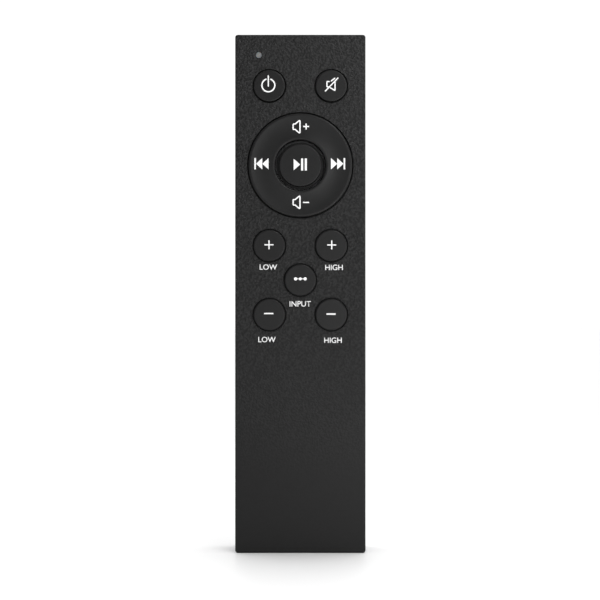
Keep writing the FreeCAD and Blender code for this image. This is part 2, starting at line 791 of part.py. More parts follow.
def key_contacts():
    """Two printed half-discs under each pill, with a slit between them."""
    places = [(x, z) for _, x, z in KEYS] + list(RING_FEET)
    contacts = []
    for i, (x, z) in enumerate(places):
        pad = disc(f"contact_pad_{i}", (x, z), "pill_radius + contact_lap", CONTACT_FRONT, BOARD_FRONT)
        slit = block(
            f"contact_slit_{i}",
            (f"{x} - contact_slit / 2", f"{x} + contact_slit / 2"),
            (CONTACT_FRONT, BOARD_FRONT),
            (f"{z} - 2 * pill_radius", f"{z} + 2 * pill_radius"),
        )
        contacts.append(less(f"contact_{i}", pad, slit))
    keep(group("contacts", contacts), "key_contacts")


def on_board(name, x, z, size, height, lift="0"):
    """A block on the back of the board. x and z are its middle, size is (wide, long)."""
    low = f"{BOARD_BACK} + {lift}"
    return block(
        name,
        (f"{x} - {size[0]} / 2", f"{x} + {size[0]} / 2"),
        (low, f"{low} + {height}"),
        (f"{z} - {size[1]} / 2", f"{z} + {size[1]} / 2"),
    )


def electronics():
    """What is soldered to the back of the board."""
    chip_z = f"{RING_Z} - chip_drop"
    chip = on_board("chip", "0", chip_z, ("chip_width", "chip_length"), "chip_height", "chip_stand")
    keep(chip, "control_chip")
    leads = []
    size = ("lead_length", "lead_width")
    for name, side in (("left", "-1"), ("right", "1")):
        x = f"{side} * lead_reach"
        for i in range(9):
            along = f"{chip_z} + {i - 4} * lead_pitch"
            leads.append(on_board(f"chip_lead_{i}_{name}", x, along, size, "lead_height"))
    keep(group("chip_leads", leads), "control_chip_leads")
    size = ("resonator_width", "resonator_length")
    keep(on_board("resonator_case", "-side_reach", f"{chip_z} + 2", size, "resonator_height"), "resonator")
    can_back = f"{BOARD_BACK} + can_height"
    can = disc("capacitor_can", ("side_reach", chip_z), "can_radius", BOARD_BACK, can_back)
    keep(can, "electrolytic_capacitor")
    small = ("small_width", "small_length")
    row = f"{RING_Z} + small_pitch"
    resistors = [
        on_board(f"resistor_{i}", f"{2 * i - 5} * small_pitch / 2", row, small, "resistor_height")
        for i in range(6)
    ]
    keep(group("resistors", resistors), "chip_resistors")
    below_chip = f"{chip_z} - chip_length"
    capacitors = [
        on_board(f"capacitor_{i}", f"{i - 2} * small_pitch", below_chip, small, "capacitor_height")
        for i in range(5)
    ]
    keep(group("capacitors", capacitors), "chip_capacitors")
    transistor()


def transistor():
    """The small transistor that drives the infrared lamp, on three legs."""
    middle = f"{TOP_ROW} - small_pitch"
    size = ("transistor_width", "transistor_length")
    pieces = [
        on_board("transistor_case", "transistor_reach", middle, size, "transistor_height", "chip_stand"),
    ]
    legs = (
        ("a", "transistor_reach - leg_reach", f"{middle} - leg_spread"),
        ("b", "transistor_reach - leg_reach", f"{middle} + leg_spread"),
        ("c", "transistor_reach + leg_reach", middle),
    )
    for name, x, z in legs:
        pieces.append(on_board(f"transistor_leg_{name}", x, z, ("leg_length", "leg_width"), "leg_height"))
    keep(group("transistor", pieces), "drive_transistor")


def indicator():
    """The lit dot on the front: a light pipe, and the lamp on the board behind it."""
    place = ("-lens_reach", LENS_Z)
    stem = disc("lens_stem", place, "lens_radius", f"{FRONT} + lens_sink", f"{BOARD_FRONT} - lens_back_gap")
    rim = disc("lens_rim", place, "lens_radius + lens_flange", WALL_BACK, f"{WALL_BACK} + lens_flange")
    keep(joined("lens", [stem, rim]), "indicator_lens")
    x, z = place
    lamp = block(
        "indicator_chip",
        (f"{x} - lamp_chip_width / 2", f"{x} + lamp_chip_width / 2"),
        (f"{BOARD_FRONT} - lamp_chip_height", BOARD_FRONT),
        (f"{z} - lamp_chip_length / 2", f"{z} + lamp_chip_length / 2"),
    )
    keep(lamp, "indicator_led")


def infrared():
    """The lamp at the top of the board and the dark window in front of it."""
    seat = f"{BOARD_TOP} - lamp_drop"
    place = ("0", LAMP_Y)
    base = upright("lamp_base", place, "lamp_radius + lamp_rim", seat, f"{seat} + lamp_rim_height")
    barrel = upright("lamp_tube", place, "lamp_radius", seat, f"{seat} + lamp_barrel")
    tip = doc.addObject("Part::Sphere", "lamp_tip")
    bind(tip, "Radius", "lamp_radius")
    stand(tip, "0", LAMP_Y, f"{seat} + lamp_barrel", turned=False)
    pieces = [base, barrel, tip]
    foot = f"{seat} - wire_length"
    for name, side in (("left", "-1"), ("right", "1")):
        x = (f"{side} * wire_spread - wire_half", f"{side} * wire_spread + wire_half")
        back = f"{LAMP_Y} + wire_half"
        pieces.append(block(f"lamp_leg_{name}", x, (f"{LAMP_Y} - wire_half", back), (foot, seat)))
        pieces.append(block(f"lamp_foot_{name}", x, (BOARD_BACK, back), (f"{foot} - 2 * wire_half", foot)))
    keep(joined("lamp", pieces), "ir_led")
    pane = block(
        "window_pane",
        both_sides("window_reach - window_gap"),
        (f"{SPLIT} + window_gap", f"{SPLIT} + window_depth - window_gap"),
        (f"{TOP} - side_wall", f"{TOP} - window_gap"),
    )
    rim = block(
        "window_rim",
        both_sides("window_reach + window_flange"),
        (f"{SPLIT} + window_gap", f"{SPLIT} + window_depth + window_flange"),
        (f"{TOP} - side_wall - window_flange", f"{TOP} - side_wall"),
    )
    keep(joined("window", [pane, rim]), "ir_window")


def case_screws():
    """Four cross-head screws from the back."""
    head_back = f"{SCREW_SEAT} + screw_head_height"
    recess = (f"{SCREW_SEAT} + screw_head_height / 2", head_back)
    screws = []
    for i, (x, z) in enumerate(SCREWS):
        head = disc(f"screw_head_{i}", (x, z), "screw_head_radius", SCREW_SEAT, head_back)
        shank = disc(f"screw_shank_{i}", (x, z), "screw_radius", SCREW_TIP, SCREW_SEAT)
        wide = {axis: (f"{at} - drive_half", f"{at} + drive_half") for axis, at in (("x", x), ("z", z))}
        reach = "0.6 * screw_head_radius"
        full = {axis: (f"{at} - {reach}", f"{at} + {reach}") for axis, at in (("x", x), ("z", z))}
        slot = block(f"screw_slot_{i}", wide["x"], recess, full["z"])
        cross = block(f"screw_cross_{i}", full["x"], recess, wide["z"])
        solid = joined(f"screw_solid_{i}", [head, shank])
        screws.append(less(f"screw_{i}", solid, joined(f"screw_drive_{i}", [slot, cross])))
    keep(group("screws", screws), "case_screws")


def cell(side, x, nub_up):
    """One AAA cell: a steel can with its raised end, and the printed sleeve round it."""
    low = "bay_start + contact_stack"
    high = f"{low} + cell_length"
    place = (x, CELL_Y)
    if nub_up:
        can_span = (low, f"{high} - nub_height")
        nub_span = (f"{high} - nub_height", high)
    else:
        can_span = (f"{low} + nub_height", high)
        nub_span = (low, f"{low} + nub_height")
    can = upright(side + "_can", place, "cell_radius - cell_sleeve", *can_span)
    nub = upright(side + "_nub", place, "nub_radius", *nub_span)
    keep(joined(side + "_metal", [can, nub]), f"{side}_cell_can")
    sleeve_span = (f"{can_span[0]} + sleeve_inset", f"{can_span[1]} - sleeve_inset")
    outside = upright(side + "_sleeve_outside", place, "cell_radius", *sleeve_span)
    inside = upright(side + "_sleeve_inside", place, "cell_radius - cell_sleeve", *sleeve_span)
    keep(less(side + "_sleeve", outside, inside), f"{side}_cell_sleeve")


def plate(name, x, low, high):
    """An upright metal plate at one end of the bay."""
    across = (f"{x} - plate_half", f"{x} + plate_half")
    return block(name, across, (f"{CELL_Y} - plate_rise", f"{CELL_Y} + plate_rise"), (low, high))


def dimple(name, x, low, high):
    """The raised spot that meets a cell's plus end."""
    return upright(name, (x, CELL_Y), "dimple_radius", low, high)


def leaf(name, x, foot, out):
    """A sprung leaf that stands off its plate: foot is the plate's face, out is +1 up or -1 down."""
    reach = "(contact_stack - strip_thick)"
    inner_flat = "(leaf_flat - strip_thick / 2)"
    profile = [
        (f"{x} - leaf_half", foot),
        (f"{x} - leaf_flat", f"{foot} + {out} * {reach}"),
        (f"{x} + leaf_flat", f"{foot} + {out} * {reach}"),
        (f"{x} + leaf_half - hidden_gap", f"{foot} + {out} * leaf_lift"),
        (f"{x} + leaf_half - leaf_lift", f"{foot} + {out} * leaf_lift / 2"),
        (f"{x} + {inner_flat}", f"{foot} + {out} * ({reach} - strip_thick)"),
        (f"{x} - {inner_flat}", f"{foot} + {out} * ({reach} - strip_thick)"),
        (f"{x} - leaf_half + leaf_lift", foot),
    ]
    body = new_body(name)
    front, back = f"{CELL_Y} - leaf_width / 2", f"{CELL_Y} + leaf_width / 2"
    layer(body, "Pad", name + "_bend", [profile], front, back)
    return body


def tail(name, x, low):
    """The tongue that carries a contact out of the bay to the board."""
    across = (f"{x} - tail_half", f"{x} + tail_half")
    thickness = (BOARD_BACK, f"{BOARD_BACK} + strip_thick")
    return block(name, across, thickness, (low, f"{BOARD_BOTTOM} + tail_lap"))


def battery_contacts():
    """A plate and a dimple or leaf at the top, each with a tail to the board, and the link below."""
    left, right = f"-{CELL_X}", CELL_X
    high_face = f"{BAY_TOP} - strip_thick"
    low_face = "bay_start + strip_thick"
    reach = "(contact_stack - strip_thick)"
    plus = [
        plate("plus_plate", left, high_face, BAY_TOP),
        dimple("plus_dimple", left, f"{high_face} - {reach}", high_face),
        tail("plus_tail", left, high_face),
    ]
    keep(joined("plus_contact", plus), "positive_contact")
    minus = [
        plate("minus_plate", right, high_face, BAY_TOP),
        leaf("minus_leaf", right, high_face, "-1"),
        tail("minus_tail", right, high_face),
    ]
    keep(joined("minus_contact", minus), "negative_contact")
    bridge_y = (f"{CELL_Y} + plate_rise / 3", f"{CELL_Y} + plate_rise")
    link = [
        plate("link_plate_left", left, "bay_start", low_face),
        plate("link_plate_right", right, "bay_start", low_face),
        block("link_bridge", (left, right), bridge_y, ("bay_start", low_face)),
        dimple("link_dimple", right, low_face, f"{low_face} + {reach}"),
        leaf("link_leaf", left, low_face, "1"),
    ]
    keep(joined("link", link), "link_contact")


def build():
    fill_sheet()
    front_case()
    rear_case()
    battery_door()
    door_latch()
    key_caps()
    volume_ring()
    ring_pad()
    keypad_mat()
    carbon_pills()
    circuit_board()
    key_contacts()
    electronics()
    indicator()
    infrared()
    case_screws()
    cell("left", f"-{CELL_X}", nub_up=True)
    cell("right", CELL_X, nub_up=False)
    battery_contacts()
    doc.recompute()


def prove():
    """Stops if anything failed to compute, or a sub-part is empty or not valid."""
    for made in doc.Objects:
        if "Invalid" in made.State or "Error" in made.State:
            raise RuntimeError(f"{made.Label} did not compute")
    for part in parts:
        if part.Shape.isNull() or not part.Shape.isValid() or part.Shape.Volume <= 0:
            raise RuntimeError(f"{part.Label} has no valid solid")


def write():
    os.makedirs("parts", exist_ok=True)
    for part in parts:
        part.Shape.exportStep(f"parts/{part.Label}.step")
        print(part.Label, len(part.Shape.Solids), round(part.Shape.Volume, 2))


build()
prove()
write()
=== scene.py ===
import json
import math

import bmesh
import bpy
from mathutils import Matrix, Vector
from mathutils.bvhtree import BVHTree

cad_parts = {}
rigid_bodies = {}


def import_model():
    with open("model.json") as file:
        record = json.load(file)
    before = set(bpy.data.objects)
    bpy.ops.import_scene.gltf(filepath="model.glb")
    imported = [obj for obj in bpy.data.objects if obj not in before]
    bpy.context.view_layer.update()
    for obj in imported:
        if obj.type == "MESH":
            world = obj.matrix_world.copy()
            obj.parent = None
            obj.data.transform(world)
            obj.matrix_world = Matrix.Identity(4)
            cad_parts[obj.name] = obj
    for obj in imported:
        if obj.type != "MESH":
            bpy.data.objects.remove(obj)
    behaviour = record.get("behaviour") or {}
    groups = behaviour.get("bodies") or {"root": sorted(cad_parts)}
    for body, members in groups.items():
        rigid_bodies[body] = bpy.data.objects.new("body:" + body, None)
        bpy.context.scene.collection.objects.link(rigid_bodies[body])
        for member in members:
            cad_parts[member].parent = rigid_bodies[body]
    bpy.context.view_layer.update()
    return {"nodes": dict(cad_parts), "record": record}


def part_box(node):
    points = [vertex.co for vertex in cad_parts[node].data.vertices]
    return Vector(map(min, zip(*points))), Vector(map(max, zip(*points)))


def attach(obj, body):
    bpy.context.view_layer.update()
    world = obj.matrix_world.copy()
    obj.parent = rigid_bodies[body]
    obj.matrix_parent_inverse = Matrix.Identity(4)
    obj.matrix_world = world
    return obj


bl_info = {
    "name": "Soundbar remote control",
    "version": (1, 0, 0),
    "blender": (4, 5, 0),
    "location": "View3D > Sidebar > Remote",
    "description": "Finishes, printed signs and studio for a handheld remote control",
    "category": "Object",
}

for leftover in list(bpy.data.objects):
    bpy.data.objects.remove(leftover)

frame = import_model()
NODES = frame["nodes"]
SLOT_COLOURS = {row["slot"]: row["base_color"] for row in frame["record"]["materials"]}
NODE_SLOTS = {row["node"]: row["material_slot"] for row in frame["record"]["subparts"]}

MM = 0.001


# Sizes and colours that a user would change


def length(name, description, default):
    return bpy.props.FloatProperty(
        name=name, description=description, default=default, min=0.0,
        unit="LENGTH", subtype="DISTANCE", precision=5,
    )


def amount(name, description, default, high=10.0):
    return bpy.props.FloatProperty(
        name=name, description=description, default=default, min=0.0, max=high,
    )


def colour(name, description, default):
    return bpy.props.FloatVectorProperty(
        name=name, description=description, default=default, size=3,
        min=0.0, max=1.0, subtype="COLOR",
    )


class REMOTE_PG_print(bpy.types.PropertyGroup):
    """Signs and words printed on the keys and the case."""

    thickness: length("Thickness", "How thick the print is", 0.03 * MM)
    lift: length("Lift", "How far the middle of the print stands off the face", 0.01 * MM)
    grid: length("Grid", "Spacing of the cuts that let a sign follow a hollow face", 0.4 * MM)
    letter_height: length("Letter height", "Height of a capital letter", 1.6 * MM)
    ink: colour("Ink", "Colour of the print", (0.83, 0.83, 0.83))


class REMOTE_PG_plastic(bpy.types.PropertyGroup):
    """The moulded plastics."""

    case: colour("Case", "Colour of the textured case", SLOT_COLOURS["case_plastic"])
    keys: colour("Keys", "Colour of the satin keys", SLOT_COLOURS["key_plastic"])
    texture_size: length("Texture size", "Size of one grain of the case's texture", 0.6 * MM)
    texture_depth: length("Texture depth", "Depth of the case's texture at its top", 0.33 * MM)
    # Share of the texture's depth and of its pale flecks left at the foot; the flecks are painted
    # glints that fade downward, as if the light fell stronger on the top
    texture_and_glints_at_foot: amount("Foot texture and glints", "Share of the texture's depth left at the foot", 0.05, 1.0)
    gloss: amount("Gloss", "Specular level of the case and the keys", 0.21, 1.0)


class REMOTE_PG_studio(bpy.types.PropertyGroup):
    """Floor, lights and camera."""

    lens: amount("Lens", "Focal length in millimetres", 100.0, 500.0)
    view_width: length("View width", "Width of the view at the front face", 174.7 * MM)
    eye_height: length("Eye height", "Height of the camera above the floor", 73.7 * MM)
    front_glow: amount("Front glow", "Brightness of the room behind the camera", 0.4)
    back_glow: amount("Back glow", "Brightness of the room behind the object", 1.09)
    right_power: amount("Right strip", "Watts of the upright strip light at the right", 0.20, 50.0)
    left_power: amount("Left strip", "Watts of the upright strip light at the left", 0.04, 50.0)
    top_power: amount("Top light", "Watts of the light above the right of the case", 0.11, 50.0)
    low_power: amount("Low light", "Watts of the light near the floor in front", 0.032, 50.0)
    side_power: amount("Side light", "Watts of the large light beside the object", 0.65, 50.0)
    overhead: amount("Overhead light", "Strength of the broad light from above", 1.25, 100.0)
    floor: colour("Floor", "Colour of the floor", (0.86, 0.86, 0.86))


def print_settings():
    return bpy.context.scene.remote_print


def plastic_settings():
    return bpy.context.scene.remote_plastic


# Material nodes

# Nearly all of a noise's values lie between these
NOISE_LOW, NOISE_HIGH = 0.3, 0.7


class Recipe:
    """One material being put together from nodes. Texture sizes are in metres."""

    def __init__(self, name, colour_now, roughness, metallic=0.0):
        self.material = bpy.data.materials.new(name)
        self.material.use_nodes = True
        self.nodes = self.material.node_tree.nodes
        self.links = self.material.node_tree.links
        self.shader = self.nodes["Principled BSDF"]
        self.shader.inputs["Base Color"].default_value = (*colour_now, 1.0)
        self.shader.inputs["Roughness"].default_value = roughness
        self.shader.inputs["Metallic"].default_value = metallic
        self.places = self.nodes.new("ShaderNodeTexCoord").outputs["Object"]

    def stretched(self, stretch):
        """Places squeezed along each axis, so that a pattern is drawn out along the small ones."""
        mapping = self.nodes.new("ShaderNodeMapping")
        mapping.inputs["Scale"].default_value = stretch
        self.links.new(self.places, mapping.inputs["Vector"])
        return mapping.outputs["Vector"]

    def noise(self, size, detail=2.0, stretch=None):
        made = self.nodes.new("ShaderNodeTexNoise")
        made.inputs["Scale"].default_value = 1.0 / size
        made.inputs["Detail"].default_value = detail
        self.links.new(self.stretched(stretch) if stretch else self.places, made.inputs["Vector"])
        return made.outputs["Fac"]

    def pits(self, size):
        """Rounded cells of about that size, dark in the middle."""
        made = self.nodes.new("ShaderNodeTexVoronoi")
        made.inputs["Scale"].default_value = 1.0 / size
        self.links.new(self.places, made.inputs["Vector"])
        return made.outputs["Distance"]

    def along(self, axis, low, high):
        """From 0 to 1 between two places along an axis."""
        split = self.nodes.new("ShaderNodeSeparateXYZ")
        self.links.new(self.places, split.inputs["Vector"])
        return self.ranged(split.outputs[axis], low, high, 0.0, 1.0)

    def ranged(self, value, low, high, to_low, to_high):
        made = self.nodes.new("ShaderNodeMapRange")
        made.inputs["From Min"].default_value = low
        made.inputs["From Max"].default_value = high
        made.inputs["To Min"].default_value = to_low
        made.inputs["To Max"].default_value = to_high
        self.links.new(value, made.inputs["Value"])
        return made.outputs["Result"]

    def reckoned(self, operation, first, second):
        """A sum or product of two values."""
        made = self.nodes.new("ShaderNodeMath")
        made.operation = operation
        for socket, value in zip(made.inputs, (first, second)):
            if isinstance(value, float):
                socket.default_value = value
            else:
                self.links.new(value, socket)
        return made.outputs["Value"]

    def times(self, first, second):
        return self.reckoned("MULTIPLY", first, second)

    def plus(self, first, second):
        return self.reckoned("ADD", first, second)

    def mixed(self, factor, first, second):
        made = self.nodes.new("ShaderNodeMix")
        made.data_type = "RGBA"
        self.links.new(factor, made.inputs["Factor"])
        for socket, value in ((made.inputs["A"], first), (made.inputs["B"], second)):
            if isinstance(value, bpy.types.NodeSocket):
                self.links.new(value, socket)
            else:
                socket.default_value = (*value, 1.0)
        return made.outputs["Result"]

    def colour_by(self, factor, first, second):
        self.links.new(self.mixed(factor, first, second), self.shader.inputs["Base Color"])
        return self

    def roughness_by(self, factor, smooth, rough):
        spread = self.ranged(factor, NOISE_LOW, NOISE_HIGH, smooth, rough)
        self.links.new(spread, self.shader.inputs["Roughness"])
        return self

    def relief(self, height, depth, strength=1.0):
        """A fine surface texture, one on top of another if it is called again."""
        made = self.nodes.new("ShaderNodeBump")
        made.inputs["Strength"].default_value = strength
        made.inputs["Distance"].default_value = depth
        self.links.new(height, made.inputs["Height"])
        before = self.shader.inputs["Normal"].links
        if before:
            self.links.new(before[0].from_socket, made.inputs["Normal"])
        self.links.new(made.outputs["Normal"], self.shader.inputs["Normal"])
        return self

    def gloss(self, level):
        self.shader.inputs["Specular IOR Level"].default_value = level
        return self


def shade(colour_now, factor):
    """A colour made darker or lighter."""
    return tuple(min(1.0, channel * factor) for channel in colour_now)


# Finishes, one function for each

# The case's texture and its pale flecks of painted glint are at their faintest below the first
# height and whole above the second
FAINTEST_BELOW, WHOLE_ABOVE = 22 * MM, 70 * MM
# The part of the grains' noise that shows as pale flecks, painted glints of light
SPECK_LOW, SPECK_HIGH = 0.42, 0.6


def textured_black_plastic():
    """Spark-eroded mould texture: sandy grains whose bumps grow shallower toward the foot, with
    pale flecks of painted glint that are brightest at the top and fade toward the foot.
    """
    plastic = plastic_settings()
    made = Recipe("textured_black_plastic", plastic.case, 0.4)
    grains = made.noise(plastic.texture_size, 3.0)
    height = made.along("Z", FAINTEST_BELOW, WHOLE_ABOVE)
    texture_and_glints_kept = made.plus(made.times(height, 1.0 - plastic.texture_and_glints_at_foot), plastic.texture_and_glints_at_foot)
    # Pale flecks of painted glint, faded toward the foot by the same share as the texture, as if
    # the light fell stronger on the top
    painted_glint_flecks = made.times(made.ranged(grains, SPECK_LOW, SPECK_HIGH, 0.0, 1.0), texture_and_glints_kept)
    made.colour_by(painted_glint_flecks, shade(plastic.case, 0.5), shade(plastic.case, 2.1))
    made.roughness_by(made.plus(made.times(painted_glint_flecks, -0.5), 1.0), 0.28, 0.40)
    made.relief(made.times(grains, texture_and_glints_kept), plastic.texture_depth)
    return made.gloss(plastic.gloss).material


def satin_black_plastic():
    """Smooth key tops with a very fine satin grain."""
    plastic = plastic_settings()
    made = Recipe("satin_black_plastic", plastic.keys, 0.42)
    cloud = made.noise(5 * MM, 3.0)
    made.colour_by(cloud, shade(plastic.keys, 0.94), shade(plastic.keys, 1.06))
    made.roughness_by(made.noise(2.5 * MM, 4.0), 0.34, 0.40)
    made.relief(made.noise(0.09 * MM, 2.0), 0.002 * MM, 0.5)
    return made.gloss(plastic.gloss).material


def printed_ink():
    """White ink, laid a little unevenly."""
    ink = print_settings().ink
    made = Recipe("printed_ink", ink, 0.5)
    made.colour_by(made.noise(0.5 * MM, 3.0), shade(ink, 0.96), shade(ink, 1.04))
    made.relief(made.noise(0.12 * MM), 0.004 * MM, 0.4)
    return made.material


def smoked_window():
    """Deep red-black plastic that lets infrared through."""
    tone = SLOT_COLOURS["window_plastic"]
    made = Recipe("smoked_window", tone, 0.08)
    made.colour_by(made.noise(6 * MM, 2.0), shade(tone, 0.8), shade(tone, 1.3))
    made.roughness_by(made.noise(1.5 * MM, 4.0), 0.05, 0.14)
    made.shader.inputs["Coat Weight"].default_value = 0.4
    return made.material


def frosted_lens():
    """Pale translucent light pipe."""
    tone = SLOT_COLOURS["lens_plastic"]
    made = Recipe("frosted_lens", tone, 0.3)
    made.colour_by(made.noise(0.3 * MM, 2.0), shade(tone, 0.5), shade(tone, 0.75))
    made.relief(made.noise(0.1 * MM), 0.005 * MM, 0.5)
    made.shader.inputs["Subsurface Weight"].default_value = 0.3
    made.shader.inputs["Subsurface Scale"].default_value = 0.3 * MM
    return made.material


def grey_silicone():
    """Matt silicone rubber with a dusty bloom."""
    tone = SLOT_COLOURS["silicone"]
    made = Recipe("grey_silicone", tone, 0.7)
    made.colour_by(made.noise(3 * MM, 4.0), shade(tone, 0.85), shade(tone, 1.15))
    made.roughness_by(made.noise(1 * MM, 3.0), 0.6, 0.8)
    made.relief(made.noise(0.15 * MM, 2.0), 0.01 * MM, 0.5)
    made.shader.inputs["Sheen Weight"].default_value = 0.2
    return made.gloss(0.3).material


def carbon_rubber():
    """Black conductive rubber with a pitted face."""
    tone = SLOT_COLOURS["carbon"]
    made = Recipe("carbon_rubber", tone, 0.6)
    pits = made.pits(0.25 * MM)
    made.colour_by(pits, shade(tone, 0.7), shade(tone, 1.6))
    made.relief(pits, 0.02 * MM, 0.6)
    return made.gloss(0.4).material


def green_board():
    """Solder mask over woven glass, with the copper tracks standing a little under it."""
    tone = SLOT_COLOURS["board_laminate"]
    made = Recipe("green_board", tone, 0.35)
    brick = made.nodes.new("ShaderNodeTexBrick")
    brick.inputs["Scale"].default_value = 1.0
    brick.inputs["Brick Width"].default_value = 6.3 * MM
    brick.inputs["Row Height"].default_value = 1.9 * MM
    brick.inputs["Mortar Size"].default_value = 0.3 * MM
    brick.inputs["Mortar Smooth"].default_value = 0.2
    turned = made.nodes.new("ShaderNodeMapping")
    turned.inputs["Rotation"].default_value = (math.radians(90), 0.0, 0.0)
    made.links.new(made.places, turned.inputs["Vector"])
    made.links.new(turned.outputs["Vector"], brick.inputs["Vector"])
    tracks = brick.outputs["Fac"]
    weave = made.noise(0.4 * MM, 1.0, (1.0, 1.0, 0.25))
    made.colour_by(tracks, made.mixed(weave, shade(tone, 0.75), tone), shade(tone, 1.7))
    made.relief(tracks, 0.03 * MM, 0.6)
    made.relief(weave, 0.005 * MM, 0.3)
    return made.material


def gold_contact():
    """Thin gold flash on the key contacts."""
    tone = SLOT_COLOURS["contact_gold"]
    made = Recipe("gold_contact", tone, 0.3, 1.0)
    made.colour_by(made.noise(0.8 * MM, 3.0), shade(tone, 0.88), shade(tone, 1.08))
    made.roughness_by(made.noise(0.3 * MM, 3.0), 0.22, 0.4)
    return made.material


def chip_epoxy():
    """Moulded epoxy with a faint matt texture."""
    tone = SLOT_COLOURS["chip_epoxy"]
    made = Recipe("chip_epoxy", tone, 0.55)
    grain = made.noise(0.12 * MM, 3.0)
    made.colour_by(grain, shade(tone, 0.8), shade(tone, 1.5))
    made.relief(grain, 0.012 * MM, 0.6)
    return made.gloss(0.4).material


def plated_steel():
    """Nickel-plated steel with the drawn lines of its strip."""
    tone = SLOT_COLOURS["plated_steel"]
    made = Recipe("plated_steel", tone, 0.28, 1.0)
    lines = made.noise(0.25 * MM, 3.0, (1.0, 1.0, 0.05))
    made.colour_by(made.noise(1.5 * MM, 3.0), shade(tone, 0.85), shade(tone, 1.1))
    made.roughness_by(lines, 0.2, 0.38)
    made.relief(lines, 0.004 * MM, 0.4)
    return made.material


def lamp_resin():
    """Clear resin of the lamps."""
    tone = SLOT_COLOURS["lamp_resin"]
    made = Recipe("lamp_resin", tone, 0.08)
    made.colour_by(made.noise(0.6 * MM, 2.0), shade(tone, 0.92), shade(tone, 1.05))
    made.roughness_by(made.noise(0.5 * MM, 2.0), 0.04, 0.12)
    made.shader.inputs["Transmission Weight"].default_value = 0.6
    return made.material


def resonator_ceramic():
    """Glazed ceramic case of the resonator."""
    tone = SLOT_COLOURS["resonator_ceramic"]
    made = Recipe("resonator_ceramic", tone, 0.4)
    made.colour_by(made.noise(0.5 * MM, 4.0), shade(tone, 0.75), shade(tone, 1.2))
    made.relief(made.noise(0.2 * MM, 3.0), 0.01 * MM, 0.5)
    return made.material


STRIPE_WIDTH = 1.2 * MM


def capacitor_sleeve():
    """Shrunk sleeve with the pale stripe that marks the minus side."""
    tone = SLOT_COLOURS["capacitor_sleeve"]
    made = Recipe("capacitor_sleeve", tone, 0.3)
    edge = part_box("electrolytic_capacitor")[1].x - STRIPE_WIDTH
    stripe = made.along("X", edge, edge + 0.05 * MM)
    cloud = made.mixed(made.noise(1 * MM, 2.0), shade(tone, 0.9), shade(tone, 1.3))
    made.colour_by(stripe, cloud, (0.55, 0.57, 0.6))
    made.relief(made.noise(0.4 * MM, 2.0), 0.008 * MM, 0.3)
    return made.material


def chip_ceramic():
    """Sintered ceramic of the small chip parts."""
    tone = SLOT_COLOURS["chip_ceramic"]
    made = Recipe("chip_ceramic", tone, 0.5)
    made.colour_by(made.noise(0.3 * MM, 3.0), shade(tone, 0.8), shade(tone, 1.15))
    made.relief(made.noise(0.15 * MM, 2.0), 0.006 * MM, 0.5)
    return made.material


def cell_metal():
    """Bare steel ends of the cells."""
    tone = SLOT_COLOURS["cell_metal"]
    made = Recipe("cell_metal", tone, 0.3, 1.0)
    made.colour_by(made.noise(2 * MM, 3.0), shade(tone, 0.85), shade(tone, 1.1))
    made.roughness_by(made.noise(0.3 * MM, 3.0), 0.22, 0.4)
    return made.material


# Where a cell's pale band begins, as a share of its film's height from the minus end
BAND_START = 0.88


def cell_sleeve(node, plus_up):
    """Plain printed film: dark grey, with a narrow pale band round the plus end."""
    tone = SLOT_COLOURS["cell_sleeve"]
    low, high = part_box(node)
    made = Recipe(node + "_film", tone, 0.2)
    seam = low.z + (BAND_START if plus_up else 1.0 - BAND_START) * (high.z - low.z)
    band = made.along("Z", seam, seam + 0.1 * MM)
    dark = made.mixed(made.noise(4 * MM, 2.0), shade(tone, 0.8), shade(tone, 1.2))
    pale = made.mixed(made.noise(0.3 * MM, 2.0), (0.52, 0.53, 0.55), (0.62, 0.63, 0.65))
    first, second = (dark, pale) if plus_up else (pale, dark)
    made.colour_by(band, first, second)
    made.roughness_by(made.noise(1.5 * MM, 3.0), 0.14, 0.26)
    made.relief(made.noise(1.2 * MM, 2.0), 0.01 * MM, 0.2)
    made.shader.inputs["Coat Weight"].default_value = 0.5
    return made.material


FINISHES = {
    "case_plastic": textured_black_plastic,
    "key_plastic": satin_black_plastic,
    "window_plastic": smoked_window,
    "lens_plastic": frosted_lens,
    "silicone": grey_silicone,
    "carbon": carbon_rubber,
    "board_laminate": green_board,
    "contact_gold": gold_contact,
    "chip_epoxy": chip_epoxy,
    "plated_steel": plated_steel,
    "lamp_resin": lamp_resin,
    "resonator_ceramic": resonator_ceramic,
    "capacitor_sleeve": capacitor_sleeve,
    "chip_ceramic": chip_ceramic,
    "cell_metal": cell_metal,
}


def dress(node, material):
    """Gives a CAD node its finish."""
    faces = NODES[node].data.materials
    faces.clear()
    faces.append(material)


# Flat drawing for the printed signs, in millimetres from the middle of the key: x right, z up


def arc(centre, radius, start, end, steps=48):
    """Points round an arc, in degrees anticlockwise from the right."""
    turns = [math.radians(start + (end - start) * i / steps) for i in range(steps + 1)]
    x, z = centre
    return [(x + radius * math.cos(turn), z + radius * math.sin(turn)) for turn in turns]


def disc(centre, radius):
    return [arc(centre, radius, 0, 360, 32)[:-1]]


def bar(left, low, right, high):
    return [[(left, low), (right, low), (right, high), (left, high)]]


def rounded(points, radius, closed=False, steps=5):
    """The same path with its corners rounded."""
    path = [Vector(point) for point in points]
    count = len(path)
    made = []
    for i, here in enumerate(path):
        if not closed and i in (0, count - 1):
            made.append(here)
            continue
        come = (here - path[i - 1]).normalized()
        go = (path[(i + 1) % count] - here).normalized()
        cut = radius * math.tan(come.angle(go) / 2)
        for step in range(steps + 1):
            share = step / steps
            first, second = here - come * cut, here + go * cut
            made.append(first.lerp(here, share).lerp(here.lerp(second, share), share))
    return [tuple(point) for point in made]


